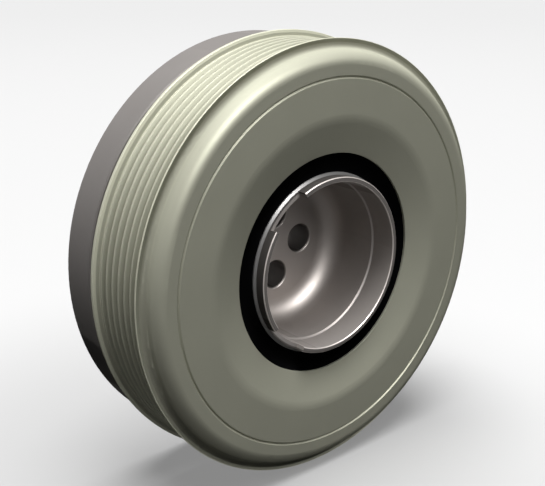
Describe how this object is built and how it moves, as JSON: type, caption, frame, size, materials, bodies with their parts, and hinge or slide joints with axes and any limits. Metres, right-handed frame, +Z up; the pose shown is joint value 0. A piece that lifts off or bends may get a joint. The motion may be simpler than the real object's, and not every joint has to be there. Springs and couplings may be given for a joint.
{
  "type": "harmonic balancer",
  "caption": "Crankshaft harmonic balancer: cup hub with bolt holes, rubber-mounted poly-V belt pulley with a dished front, and an inertia ring on rubber behind it.",
  "frame": {"origin": "centre of the hub's flat mounting face, on the spin axis", "axes": "spin axis along Y with the pulley's front face towards -Y and the crankshaft on the +Y side, +Z up"},
  "size_m": [0.1602, 0.0499, 0.1602],
  "materials": {
    "hub_steel": "turned satin",
    "sleeve_steel": "bright satin",
    "rubber": "satin black",
    "pulley_coating": "satin grey-green",
    "ring_iron": "satin, turned"
  },
  "bodies": {
    "root": {"hub": "hub_steel", "inner_sleeve": "sleeve_steel", "decoupling_rubber": "rubber", "belt_pulley": "pulley_coating", "damper_rubber": "rubber", "inertia_ring": "ring_iron"}
  },
  "joints": []
}
